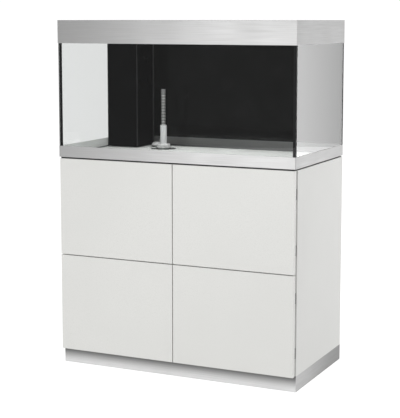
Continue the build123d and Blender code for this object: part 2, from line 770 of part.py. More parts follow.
# Arms from the hood's side walls, over the ends of the light bars
with BuildPart() as light_brackets:
    for y in light_rows:
        for sign in hands.values():
            arm_x = (light_length / 2 - light_arm_reach, corner_x)
            with Locations((sign * sum(arm_x) / 2, y, light_top + bracket_t / 2)):
                Box(arm_x[1] - arm_x[0], light_arm_w, bracket_t)
            foot_z = (rim_z + ledge_t, light_top)
            with Locations((sign * (corner_x - bracket_t / 2), y, sum(foot_z) / 2)):
                Box(bracket_t, light_arm_w, foot_z[1] - foot_z[0])
keep(light_brackets, "light_brackets")

# ---------------------------------------------------------------- files

os.makedirs("parts", exist_ok=True)
for piece in pieces:
    export_step(piece.part, f"parts/{piece.part.label}.step")
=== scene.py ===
import logging
import math
from collections.abc import Iterable, Sequence
from dataclasses import dataclass, field
from enum import Enum

import bmesh
import bpy
from mathutils import Matrix, Vector


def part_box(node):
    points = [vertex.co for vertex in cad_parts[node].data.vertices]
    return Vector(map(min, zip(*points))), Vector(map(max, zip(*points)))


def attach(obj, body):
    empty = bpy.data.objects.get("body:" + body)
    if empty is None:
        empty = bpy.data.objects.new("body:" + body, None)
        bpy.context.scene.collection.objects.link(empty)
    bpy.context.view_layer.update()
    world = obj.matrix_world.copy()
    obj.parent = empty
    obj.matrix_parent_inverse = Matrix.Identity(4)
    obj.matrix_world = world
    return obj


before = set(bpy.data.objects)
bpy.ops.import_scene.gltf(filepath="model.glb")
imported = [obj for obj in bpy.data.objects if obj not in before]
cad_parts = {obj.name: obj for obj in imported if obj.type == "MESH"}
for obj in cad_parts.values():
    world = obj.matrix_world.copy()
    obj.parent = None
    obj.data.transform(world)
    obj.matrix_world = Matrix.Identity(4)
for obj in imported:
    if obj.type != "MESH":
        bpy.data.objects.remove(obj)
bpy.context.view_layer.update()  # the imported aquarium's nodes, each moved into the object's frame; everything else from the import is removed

log = logging.getLogger("aquarium")
Colour = tuple[float, float, float, float]
STAND = "stand"  # the fixed body


class Axis(Enum):
    """A direction of the object's own frame, by its place in a vector."""

    X = 0
    Y = 1
    Z = 2


def grey(level: float, warmth: float = 0.0) -> Colour:
    """Grey of a given brightness, a little warm or, below zero, a little cool."""
    return (level * (1 + warmth), level, level * (1 - warmth), 1.0)


# ------------------------------------------------------------------ shader maths


class Value:
    """A number, colour or vector that varies over a surface, with Python's arithmetic for numbers."""

    def __init__(self, shader: "Shader", socket: bpy.types.NodeSocket) -> None:
        """Wrap an output socket of a shader's node."""
        self.shader = shader
        self.socket = socket

    def maths(self, operation: str, *terms: "Value | float") -> "Value":
        """Math node of one operation on some terms."""
        return self.shader.node("ShaderNodeMath", {"operation": operation}, dict(enumerate(terms)))

    def __add__(self, other: "Value | float") -> "Value":
        """Sum."""
        return self.maths("ADD", self, other)

    def __sub__(self, other: "Value | float") -> "Value":
        """Difference."""
        return self.maths("SUBTRACT", self, other)

    def __rsub__(self, other: "Value | float") -> "Value":
        """Difference from a number."""
        return self.maths("SUBTRACT", other, self)

    def __mul__(self, other: "Value | float") -> "Value":
        """Product."""
        return self.maths("MULTIPLY", self, other)

    def __pow__(self, other: "Value | float") -> "Value":
        """Power."""
        return self.maths("POWER", self, other)

    def __mod__(self, other: "Value | float") -> "Value":
        """Remainder that never goes below zero."""
        return self.maths("FLOORED_MODULO", self, other)

    def __abs__(self) -> "Value":
        """Size without its sign."""
        return self.maths("ABSOLUTE", self)

    __radd__ = __add__
    __rmul__ = __mul__


class Shader:
    """Node tree of one material while it is being made."""

    def __init__(self, name: str) -> None:
        """Start an empty material.

        Args:
            name: The material's name.
        """
        self.material = bpy.data.materials.new(name)
        self.material.use_nodes = True
        self.tree = self.material.node_tree
        self.tree.nodes.clear()
        self.place = self.node("ShaderNodeTexCoord", output="Object")

    def node(
        self, kind: str, settings: dict | None = None, inputs: dict | None = None, output: str | int = 0
    ) -> Value:
        """Add a node.

        Args:
            kind: The node's type.
            settings: Its properties, set first.
            inputs: Values or links of its sockets, by name, identifier or number.
            output: The output to give back, by name, identifier or number.

        Returns:
            The chosen output.
        """
        made = self.tree.nodes.new(kind)
        for key, setting in (settings or {}).items():
            setattr(made, key, setting)
        for key, value in (inputs or {}).items():
            socket = find_socket(made.inputs, key)
            if isinstance(value, Value):
                self.tree.links.new(value.socket, socket)
            else:
                socket.default_value = value
        return Value(self, find_socket(made.outputs, output)) if made.outputs else Value(self, None)

    def axes(self, vector: Value | None = None) -> tuple[Value, Value, Value]:
        """The three parts of a vector, which is the place on the object if none is given."""
        source = {"Vector": vector or self.place}
        split = self.node("ShaderNodeSeparateXYZ", inputs=source)
        outputs = split.socket.node.outputs
        return tuple(Value(self, socket) for socket in outputs)

    def facing(self) -> tuple[Value, Value, Value]:
        """The parts of the surface's own direction, without their signs."""
        return tuple(abs(part) for part in self.axes(self.node("ShaderNodeNewGeometry", output="Normal")))

    def vector(self, x: Value | float, y: Value | float, z: Value | float) -> Value:
        """Vector from three parts."""
        return self.node("ShaderNodeCombineXYZ", inputs={"X": x, "Y": y, "Z": z})

    def noise(self, scale: float, detail: float = 2.0, vector: Value | None = None) -> Value:
        """Soft noise from 0 to 1 around 0.5.

        Args:
            scale: Features in a metre.
            detail: Octaves of finer noise.
            vector: Where to read it, by default the place on the object.

        Returns:
            The noise.
        """
        inputs = {"Vector": vector or self.place, "Scale": scale, "Detail": detail}
        return self.node("ShaderNodeTexNoise", inputs=inputs, output="Fac")

    def fade(self, value: Value, low: float, high: float, start: float = 0.0, end: float = 1.0) -> Value:
        """Carry a value from one range to another, held at the ends.

        Args:
            value: The value to carry.
            low: Where the change begins.
            high: Where it ends.
            start: Result at low.
            end: Result at high.

        Returns:
            The carried value.
        """
        inputs = {"Value": value, "From Min": low, "From Max": high, "To Min": start, "To Max": end}
        return self.node("ShaderNodeMapRange", {"interpolation_type": "SMOOTHSTEP"}, inputs)

    def mix(self, share: Value | float, first: Value | Colour, second: Value | Colour) -> Value:
        """Blend of two colours, with share of the second."""
        inputs = {"Factor_Float": share, "A_Color": first, "B_Color": second}
        return self.node("ShaderNodeMix", {"data_type": "RGBA"}, inputs, "Result_Color")

    def bump(self, height: Value, distance: float, strength: float = 1.0) -> Value:
        """Surface direction bent by a height.

        Args:
            height: Height from 0 to 1.
            distance: Depth of a height of 1, in metres.
            strength: How much of it shows.

        Returns:
            The bent direction, for a Normal socket.
        """
        inputs = {"Height": height, "Distance": distance, "Strength": strength}
        return self.node("ShaderNodeBump", inputs=inputs)

    def principled(self, **sockets: Value | float | Colour) -> Value:
        """Principled surface; a socket's name has underscores for its spaces."""
        named = {key.replace("_", " "): value for key, value in sockets.items()}
        return self.node("ShaderNodeBsdfPrincipled", inputs=named)

    def finish(self, surface: Value) -> bpy.types.Material:
        """Connect the surface to the output and give back the material."""
        self.node("ShaderNodeOutputMaterial", inputs={"Surface": surface})
        return self.material


def find_socket(sockets: bpy.types.bpy_prop_collection, key: str | int) -> bpy.types.NodeSocket:
    """Socket of a node by its number, identifier or name."""
    if isinstance(key, int):
        return sockets[key]
    return next((s for s in sockets if s.identifier == key), None) or sockets[key]


# ------------------------------------------------------------------ finishes


@dataclass(frozen=True)
class Finish:
    """A finish of the aquarium's pieces. Each kind paints its own surface."""

    name: str
    slot: str

    def paint(self, shader: Shader) -> Value:
        """Surface of the finish, made in a shader."""
        raise NotImplementedError(self.name)

    def material(self) -> bpy.types.Material:
        """The finish's material, made the first time it is asked for."""
        made = bpy.data.materials.get(self.name)
        if made is None:
            shader = Shader(self.name)
            made = shader.finish(self.paint(shader))
        return made


@dataclass(frozen=True)
class BrushedMetal(Finish):
    """Satin aluminium sheet, brushed along every band and a little cloudy."""

    colour: float = 0.48
    roughness: float = 0.34
    grain: float = 1500.0  # brush lines in a metre, across them
    run: float = 5.0  # changes in a metre, along a line
    metallic: float = 1.0

    def paint(self, shader: Shader) -> Value:
        """Long brush lines in colour, gloss and relief, on the faces that stand upright and the flat ones."""
        x, y, z = shader.axes()
        along = (x + y) * self.run
        lines = shader.noise(1.0, 3.0, shader.vector(along, 0.0, z * self.grain))
        coarse = shader.noise(1.0, 2.0, shader.vector(along, 3.0, z * self.grain * 0.22))
        cloud = shader.noise(5.0, 3.0)
        tone = shader.fade(lines * 0.5 + coarse * 0.3 + cloud * 0.2, 0.32, 0.68)
        brushed = shader.mix(tone, grey(self.colour * 0.90, 0.004), grey(self.colour * 1.08))
        return shader.principled(
            Base_Color=self.painted_shade(shader, brushed),
            Metallic=self.metallic,
            Roughness=shader.fade(tone + cloud * 0.4, 0.2, 1.2, self.roughness + 0.06, self.roughness - 0.05),
            Normal=shader.bump(lines * 0.7 + coarse * 0.3, 0.00002, 0.5),
        )

    def painted_shade(self, shader: Shader, brushed: Value) -> Value:
        """The colour as it is, with no painted shade."""
        return brushed


@dataclass(frozen=True)
class PlinthMetal(BrushedMetal):
    """Brushed plinth, darkened by painted shade up in the recess under the doors and towards the rear of its
    ends.
    """

    top: float = 0.0625
    shade_free_below: float = 0.005  # below this height the front has no painted shade
    reach: tuple[float, float] = (-0.2485, 0.271)  # front and rear of its ends
    recess: float = 0.14  # share of the colour left by the painted shade under the doors
    ends: tuple[float, float] = (0.70, 0.40)  # shares of the colour left by the painted shade at the front and rear of the ends

    def painted_shade(self, shader: Shader, brushed: Value) -> Value:
        """Painted shade: darken the colour by height on the front, under the doors' overhang, and by depth on
        the ends.
        """
        _, y, z = shader.axes()
        front = shader.fade(z, self.shade_free_below, self.top, 1.0, self.recess)
        end = shader.fade(y, *self.reach, *self.ends)
        is_end = shader.fade(shader.facing()[Axis.X.value], 0.3, 0.7)
        share = front * (1.0 - is_end) + end * is_end
        # painted shade mixed into the brushed colour, in place of the shadow of the doors' overhang
        return shader.mix(share, grey(0.0), brushed)


@dataclass(frozen=True)
class FrameMetal(BrushedMetal):
    """Brushed metal of the base frame, matt on the inner faces of its end rails, next to the glass."""

    inner: float = 0.5112  # beyond this the rail's face is an outer one
    matt: Colour = (0.52, 0.52, 0.515, 1.0)

    def paint(self, shader: Shader) -> Value:
        """Brushed outside and matt inside the end rails."""
        brushed = super().paint(shader)
        x, _, _ = shader.axes()
        inside = shader.fade(abs(x), self.inner - 0.0003, self.inner + 0.0003, 1.0, 0.0)
        faces_ends = shader.fade(shader.facing()[Axis.X.value], 0.3, 0.7)
        grain = shader.noise(700.0, 2.0)
        dark = tuple(part * 0.9 for part in self.matt[:3]) + (1.0,)
        matt = shader.principled(
            Base_Color=shader.mix(grain, self.matt, dark),
            Roughness=shader.fade(grain, 0.3, 0.7, 0.5, 0.65),
        )
        return shader.node("ShaderNodeMixShader", inputs={0: inside * faces_ends, 1: brushed, 2: matt})


@dataclass(frozen=True)
class SatinLacquer(Finish):
    """Sprayed satin lacquer with the faint orange peel of a spray gun."""

    colour: Colour = (0.80, 0.80, 0.775, 1.0)
    roughness: float = 0.30

    def paint(self, shader: Shader) -> Value:
        """Even white with a slow drift of tone and fine peel."""
        drift = shader.noise(2.2, 3.0)
        peel = shader.noise(420.0, 2.0)
        lower = tuple(part * 0.975 for part in self.colour[:3]) + (1.0,)
        return shader.principled(
            Base_Color=shader.mix(shader.fade(drift, 0.3, 0.7), self.colour, lower),
            Roughness=shader.fade(peel + drift * 0.5, 0.5, 1.0, self.roughness - 0.04, self.roughness + 0.05),
            Coat_Weight=0.15,
            Coat_Roughness=0.12,
            Normal=shader.bump(peel, 0.00004, 0.35),
        )


@dataclass(frozen=True)
class LaminatedBoard(Finish):
    """White laminate with a pearl texture and slow changes of tone."""

    colour: Colour = (0.80, 0.80, 0.78, 1.0)

    def paint(self, shader: Shader) -> Value:
        """Pearl grain pressed into the laminate, and slow changes of tone."""
        pearl = shader.noise(900.0, 3.0)
        drift = shader.noise(3.0, 2.0)
        shade = tuple(part * 0.965 for part in self.colour[:3]) + (1.0,)
        return shader.principled(
            Base_Color=shader.mix(shader.fade(drift * 0.7 + pearl * 0.3, 0.3, 0.7), self.colour, shade),
            Roughness=shader.fade(pearl, 0.3, 0.7, 0.36, 0.5),
            Normal=shader.bump(pearl, 0.00006, 0.5),
        )


@dataclass(frozen=True)
class FloatGlass(Finish):
    """Clear float glass: polished faces, and green edges that are ground and a little dull."""

    thin: Axis = Axis.Y  # the axis across the pane
    ior: float = 1.45
    tint: Colour = (0.985, 0.994, 0.990, 1.0)
    edge: Colour = (0.50, 0.70, 0.62, 1.0)

    def paint(self, shader: Shader) -> Value:
        """Glass for what looks at it, and clear to lamps and soft light, so the tank isn't dark inside."""
        face = shader.facing()[self.thin.value]
        is_edge = shader.fade(face, 0.3, 0.9, 1.0, 0.0)
        grinding = shader.noise(1600.0, 2.0)
        pane = shader.principled(
            Base_Color=shader.mix(is_edge, self.tint, self.edge),
            Roughness=is_edge * (grinding * 0.2 + 0.1),
            IOR=self.ior,
            Transmission_Weight=1.0,
        )
        paths = shader.node("ShaderNodeLightPath", output="Is Shadow Ray")
        soft = Value(shader, paths.socket.node.outputs["Is Diffuse Ray"])
        clear = shader.node("ShaderNodeBsdfTransparent", inputs={"Color": self.tint})
        lets_through = paths.maths("MAXIMUM", paths, soft)
        return shader.node("ShaderNodeMixShader", inputs={0: lets_through, 1: pane, 2: clear})


@dataclass(frozen=True)
class Gloss(Finish):
    """A dark polished or semi-matte solid with faint wipe marks: black glass, silicone and film."""

    colour: Colour = (0.008, 0.008, 0.009, 1.0)
    roughness: float = 0.05
    marks: float = 0.03  # how much the wipe marks dull it
    ripple: float = 0.0  # depth of its waves, in metres
    ripple_scale: float = 60.0
    specular: float = 0.5

    def paint(self, shader: Shader) -> Value:
        """Black with cloudy wipe marks in its gloss, and slow waves."""
        wipe = shader.fade(shader.noise(9.0, 4.0), 0.45, 0.75)
        lifted = tuple(part * 1.5 + 0.001 for part in self.colour[:3]) + (1.0,)
        return shader.principled(
            Base_Color=shader.mix(wipe, self.colour, lifted),
            Roughness=wipe * self.marks + self.roughness,
            Specular_IOR_Level=self.specular,
            Normal=shader.bump(shader.noise(self.ripple_scale, 2.0), self.ripple, 0.6),
        )


@dataclass(frozen=True)
class BlackGlass(Gloss):
    """Opaque black glass with ground edges, which are grey and dull."""

    colour: Colour = (0.005, 0.005, 0.0055, 1.0)
    ground: Colour = (0.045, 0.046, 0.047, 1.0)
    thin: Axis = Axis.Y  # the axis across the pane

    def paint(self, shader: Shader) -> Value:
        """Polished black faces and frosted edges."""
        face = shader.facing()[self.thin.value]
        is_edge = shader.fade(face, 0.3, 0.9, 1.0, 0.0)
        wipe = shader.fade(shader.noise(9.0, 4.0), 0.45, 0.75)
        lifted = tuple(part * 1.5 + 0.001 for part in self.colour[:3]) + (1.0,)
        return shader.principled(
            Base_Color=shader.mix(is_edge, shader.mix(wipe, self.colour, lifted), self.ground),
            Roughness=wipe * self.marks + is_edge * 0.4 + self.roughness,
            Specular_IOR_Level=self.specular,
        )


@dataclass(frozen=True)
class MouldedPlastic(Finish):
    """Moulded plastic or rubber: an even colour, clouds of tone and a spark-eroded grain."""

    colour: Colour = (0.8, 0.8, 0.8, 1.0)
    roughness: float = 0.4
    grain: float = 1400.0  # grain marks in a metre
    depth: float = 0.00005
    cloud: float = 0.06  # share by which the tone changes

    def paint(self, shader: Shader) -> Value:
        """Grain in gloss and relief, with a darker cloud in the colour."""
        grain = shader.noise(self.grain, 2.0)
        cloud = shader.fade(shader.noise(28.0, 3.0) * 0.7 + grain * 0.3, 0.35, 0.65)
        dark = tuple(part * (1 - self.cloud) for part in self.colour[:3]) + (1.0,)
        return shader.principled(
            Base_Color=shader.mix(cloud, self.colour, dark),
            Roughness=shader.fade(grain, 0.3, 0.7, self.roughness - 0.05, self.roughness + 0.07),
            Normal=shader.bump(grain, self.depth, 0.6),
        )


@dataclass(frozen=True)
class RibbedHose(MouldedPlastic):
    """Grey hose with dark painted shade down between its ribs and a pale, shiny painted highlight on their
    crests.
    """

    centre: tuple[float, float] = (0.0, 0.0)
    crest: float = 0.0094  # radius of the ribs
    painted_crest_highlight: Colour = (0.80, 0.80, 0.79, 1.0)
    shine: float = 0.75  # how much the crests gleam

    def paint(self, shader: Shader) -> Value:
        """Painted shade in the grooves and painted highlight on the crests, by the distance from the hose's
        own middle line.
        """
        x, y, _ = shader.axes()
        radius = ((x - self.centre[0]) ** 2.0 + (y - self.centre[1]) ** 2.0) ** 0.5
        high = shader.fade(radius, self.crest - 0.0007, self.crest)
        grain = shader.noise(self.grain, 2.0)
        return shader.principled(
            # dark grooves are painted shade and pale crests a painted highlight
            Base_Color=shader.mix(high, self.colour, self.painted_crest_highlight),
            Metallic=high * self.shine,
            Roughness=shader.fade(grain, 0.3, 0.7, self.roughness, self.roughness + 0.1),
            Normal=shader.bump(grain, self.depth, 0.5),
        )


@dataclass(frozen=True)
class Foam(Finish):
    """Closed-cell foam of the mat under the glass."""

    colour: Colour = (0.56, 0.56, 0.55, 1.0)
    cells: float = 450.0  # cells in a metre

    def paint(self, shader: Shader) -> Value:
        """Cells that are dark at their middles and pale at their walls."""
        inputs = {"Vector": shader.place, "Scale": self.cells}
        cell = shader.node("ShaderNodeTexVoronoi", inputs=inputs, output="Distance")
        drift = shader.noise(6.0, 3.0)
        dark = tuple(part * 0.72 for part in self.colour[:3]) + (1.0,)
        return shader.principled(
            Base_Color=shader.mix(shader.fade(cell * 0.6 + drift * 0.4, 0.2, 0.7), dark, self.colour),
            Roughness=shader.fade(cell, 0.0, 0.6, 0.95, 0.75),
            Normal=shader.bump(cell, 0.0003, 0.7),
        )


@dataclass(frozen=True)
class TurnedMetal(Finish):
    """Small turned or pressed metal part, with fine rings of the tool round it."""

    colour: Colour = (0.55, 0.55, 0.56, 1.0)
    roughness: float = 0.28
    rings: float = 4000.0

    def paint(self, shader: Shader) -> Value:
        """Tool marks along Z and Y, and dull spots."""
        x, y, z = shader.axes()
        rings = shader.noise(1.0, 2.0, shader.vector(x * 60.0, y * 60.0, z * self.rings))
        dull = shader.noise(160.0, 3.0)
        dark = tuple(part * 0.7 for part in self.colour[:3]) + (1.0,)
        return shader.principled(
            Base_Color=shader.mix(shader.fade(rings * 0.4 + dull * 0.6, 0.35, 0.65), self.colour, dark),
            Metallic=1.0,
            Roughness=shader.fade(dull, 0.35, 0.65, self.roughness - 0.06, self.roughness + 0.1),
            Normal=shader.bump(rings, 0.00002, 0.5),
        )


@dataclass(frozen=True)
class LensAcrylic(Finish):
    """Frosted acrylic lens with rows of light chips that show through it as pale spots."""

    colour: Colour = (0.72, 0.73, 0.73, 1.0)
    chip: Colour = (0.86, 0.78, 0.40, 1.0)
    pitch: float = 0.018
    spot: float = 0.0035

    def paint(self, shader: Shader) -> Value:
        """Blurred spots on a square grid, under a fine frosting."""
        x, y, _ = shader.axes()
        across = (x % self.pitch - self.pitch / 2) ** 2.0
        along = (y % self.pitch - self.pitch / 2) ** 2.0
        spot = shader.fade((across + along) ** 0.5, self.spot * 0.5, self.spot * 1.5, 1.0, 0.0)
        frosting = shader.noise(1800.0, 2.0)
        return shader.principled(
            Base_Color=shader.mix(spot * 0.8, self.colour, self.chip),
            Roughness=shader.fade(frosting, 0.3, 0.7, 0.35, 0.5),
            Normal=shader.bump(frosting, 0.00004, 0.5),
        )


HOOD_METAL = BrushedMetal("satin_brushed_aluminium", "brushed_metal", 0.47)
FRAME_METAL = FrameMetal("frame_brushed_aluminium", "brushed_metal", 0.51)
# this finish carries painted shade under the doors and along the plinth's ends
PLINTH_METAL = PlinthMetal("plinth_brushed_aluminium", "brushed_metal", 0.83, 0.5, metallic=0.15)
LACQUER = SatinLacquer("white_door_lacquer", "door_lacquer")
BOARD = LaminatedBoard("white_pearl_laminate", "carcass_board")
BLACK_GLASS = [
    BlackGlass(f"black_glass_{axis.name.lower()}", "black_glass", specular=0.03, thin=axis)
    for axis in (Axis.Y, Axis.X)
]
SILICONE = Gloss("black_silicone_bead", "black_silicone", roughness=0.32, marks=0.15, ripple=0.0002)
BEAD = Gloss("grey_sealant_bead", "black_silicone", (0.035, 0.036, 0.037, 1), 0.3, 0.1, 0.0001)
FILM = Gloss("black_backing_film", "black_film", (0.008, 0.008, 0.0082, 1), 0.5, 0.15, 0.0001, 900.0, 0.03)
PLATE = MouldedPlastic("black_powder_coat", "dark_plate", grey(0.02), 0.55, 700.0, 0.00008, 0.2)
MAT = Foam("grey_foam_mat", "grey_mat")
WHITE_PLASTIC = MouldedPlastic("white_moulding", "white_plastic", grey(0.72), 0.28, 1200.0, 0.00002, 0.04)
PALE_PLASTIC = MouldedPlastic("pale_grey_tube", "pale_plastic", grey(0.66, -0.01), 0.25, 900.0, 0.00002, 0.06)
NOZZLE_PLASTIC = MouldedPlastic("grey_nozzle_plastic", "hose_plastic", grey(0.17), 0.3, 900.0, 0.00002, 0.2)
RUBBER = MouldedPlastic("matte_black_rubber", "black_rubber", grey(0.018), 0.65, 900.0, 0.00006, 0.25)
BLACK_PLASTIC = MouldedPlastic(
    "black_grained_plastic", "black_plastic", grey(0.022), 0.42, 1500.0, 0.00006, 0.2
)
LID_PLASTIC = MouldedPlastic("grained_lid_sheet", "lid_plastic", grey(0.045), 0.45, 800.0, 0.0001, 0.15)
PLUNGER = MouldedPlastic("grey_plunger_plastic", "plunger_plastic", grey(0.14), 0.35, 1200.0, 0.00002, 0.1)
HINGE_METAL = TurnedMetal("dark_nickel", "dark_hinge", grey(0.16), 0.3)
STEEL = TurnedMetal("bright_steel", "steel_pin", grey(0.6), 0.24)
LAMP_METAL = BrushedMetal("anodised_lamp_housing", "light_housing", 0.6, 0.4, 900.0)
LENS = LensAcrylic("frosted_lamp_lens", "light_lens")


# ------------------------------------------------------------------ meshes


def clothe(nodes: Iterable[str], finish: Finish) -> None:
    """Give carried-over nodes their finish.

    Args:
        nodes: Names of the nodes.
        finish: Their finish.
    """
    for name in nodes:
        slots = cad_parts[name].material_slots
        for slot in slots:
            slot.material = finish.material()
        log.info("node %s: %s", name, finish.name)


def settle(
    name: str, mesh: bmesh.types.BMesh, finish: Finish, body: str, smooth: float = 30.0
) -> bpy.types.Object:
    """Turn a finished mesh into a piece that rides on a body.

    Args:
        name: The piece's name.
        mesh: Its mesh, in the object's frame, used up here.
        finish: Its finish.
        body: The body it moves with.
        smooth: Widest angle between faces that shade as one, in degrees.

    Returns:
        The piece.
    """
    bmesh.ops.remove_doubles(mesh, verts=mesh.verts, dist=0.000005)
    bmesh.ops.recalc_face_normals(mesh, faces=mesh.faces)
    data = bpy.data.meshes.new(name)
    mesh.to_mesh(data)
    mesh.free()
    data.shade_smooth()
    data.set_sharp_from_angle(angle=math.radians(smooth))
    data.materials.append(finish.material())
    piece = bpy.data.objects.new(name, data)
    bpy.context.scene.collection.objects.link(piece)
    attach(piece, body)
    log.info("piece %s on %s: %d faces", name, body, len(data.polygons))
    return piece


def pointing(direction: Sequence[float]) -> Matrix:
    """Turn that carries +Z to a direction."""
    return Vector(direction).to_track_quat("Z", "Y").to_matrix().to_4x4()


@dataclass
class Screw:
    """Pan-head screw with a six-lobed recess; only the head stands out of the surface."""

    radius: float = 0.0034
    height: float = 0.0018
    recess: float = 0.55  # recess radius, as a share of the head's
    sides: int = 12

    def add(self, mesh: bmesh.types.BMesh, place: Sequence[float], direction: Sequence[float]) -> None:
        """Add one head to a mesh.

        Args:
            mesh: The mesh that takes it.
            place: Where the head sits on the surface.
            direction: Which way it faces.
        """
        turn = Matrix.Translation(place) @ pointing(direction)
        ring = bmesh.ops.create_circle(
            mesh, cap_ends=True, segments=self.sides, radius=self.radius, matrix=turn
        )
        base = ring["verts"][0].link_faces[0]
        raised = bmesh.ops.extrude_face_region(mesh, geom=[base])["geom"]
        top = [v for v in raised if isinstance(v, bmesh.types.BMVert)]
        up = turn.to_3x3() @ Vector((0, 0, self.height))
        bmesh.ops.translate(mesh, vec=up * 0.45, verts=top)
        face = next(f for f in raised if isinstance(f, bmesh.types.BMFace))
        for share, lift in ((0.13, 0.35), (0.22, 0.2)):
            bmesh.ops.inset_region(mesh, faces=[face], thickness=self.radius * share, use_even_offset=True)
            bmesh.ops.translate(mesh, vec=up * lift, verts=face.verts)
        centre = face.calc_center_median()
        for number, vert in enumerate(list(face.verts)):
            reach = self.recess if number % 2 else self.recess * 0.72
            arm = (vert.co - centre).normalized()
            vert.co = centre + arm * self.radius * reach
        bmesh.ops.inset_region(mesh, faces=[face], thickness=self.radius * 0.03)
        bmesh.ops.translate(mesh, vec=up * -0.7, verts=face.verts)


def screws(name: str, places: Iterable[tuple], finish: Finish, body: str, shape: Screw = Screw()) -> None:
    """One piece of many screw heads.

    Args:
        name: The piece's name.
        places: (place, direction) of each head.
        finish: Their finish.
        body: The body they move with.
        shape: The screw.
    """
    mesh = bmesh.new()
    for place, direction in places:
        shape.add(mesh, place, direction)
    settle(name, mesh, finish, body)


# ------------------------------------------------------------------ the aquarium's parts


@dataclass
class Tank:
    """Glass tank with its seams, black rear film and black corner shaft."""

    shaft: tuple[str, ...] = ("shaft_front_pane", "shaft_side_pane")
    backed: dict[str, float] = field(  # panes with film or mat on them hardly mirror: their own index
        default_factory=lambda: {"rear_pane": 1.3, "floor_pane": 1.02}
    )
    bead: float = 0.004  # sealant in the shaft's rear joint
    panes: dict[str, Axis] = field(
        default_factory=lambda: {
            "front_pane": Axis.Y,
            "rear_pane": Axis.Y,
            "left_pane": Axis.X,
            "right_pane": Axis.X,
            "floor_pane": Axis.Z,
        }
    )

    def build(self) -> None:
        """Dress the panes by the way they stand, and what is stuck to them."""
        for pane, thin in self.panes.items():
            ior = self.backed.get(pane, 1.45)
            name = f"{'backed' if pane in self.backed else 'clear'}_glass_{thin.name.lower()}"
            clothe([pane], FloatGlass(name, "clear_glass", thin, ior))
        for pane, finish in zip(self.shaft, BLACK_GLASS):
            clothe([pane], finish)
        clothe(("corner_seams", "floor_seam"), SILICONE)
        clothe(("back_film",), FILM)
        self.shaft_bead()

    def shaft_bead(self) -> None:
        """Hollow bead of sealant where the shaft's side pane meets the rear pane."""
        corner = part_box("shaft_side_pane")
        x, y = corner[1].x, corner[1].y
        mesh = bmesh.new()
        steps = 6
        arc = [math.pi / 2 * n / steps for n in range(steps + 1)]
        outline = [(x, y)] + [
            (x + self.bead * (1 - math.sin(turn)), y - self.bead * (1 - math.cos(turn))) for turn in arc
        ]
        verts = [mesh.verts.new((px, py, corner[0].z + 0.003)) for px, py in outline]
        face = mesh.faces.new(verts)
        raised = bmesh.ops.extrude_face_region(mesh, geom=[face])["geom"]
        top = [v for v in raised if isinstance(v, bmesh.types.BMVert)]
        bmesh.ops.translate(mesh, vec=(0, 0, corner[1].z - corner[0].z - 0.003), verts=top)
        settle("shaft_rear_bead", mesh, BEAD, STAND)


@dataclass
class Fittings:
    """Return and suction fittings through the tank floor, with the ribbed riser hose."""

    hose: str = "return_hose"

    def build(self) -> None:
        """Dress the fittings, with the hose shaded about its own middle line."""
        low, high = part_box(self.hose)
        middle = (low + high) / 2
        # the hose's dark colour is painted shade between its ribs; its crest colour is a painted highlight
        ribbed = RibbedHose(
            "ribbed_grey_hose", "hose_plastic", grey(0.012), 0.3, 1200.0, 0.00002, centre=(middle.x, middle.y)
        )
        clothe((self.hose,), ribbed)
        clothe(("return_nozzle",), NOZZLE_PLASTIC)
        clothe(("return_adaptor",), PALE_PLASTIC)
        clothe(("return_bulkhead", "return_union_nut", "suction_bulkhead"), WHITE_PLASTIC)
        clothe(("bulkhead_gaskets",), RUBBER)
        clothe(("bulkhead_nuts", "hose_tails"), BLACK_PLASTIC)


@dataclass
class BaseFrame:
    """Metal frame round the foot of the glass, on its mat and support plate."""

    def build(self) -> None:
        """Dress the frame and what lies in it."""
        clothe(("base_frame",), FRAME_METAL)
        clothe(("support_plate",), PLATE)
        clothe(("safety_mat",), MAT)


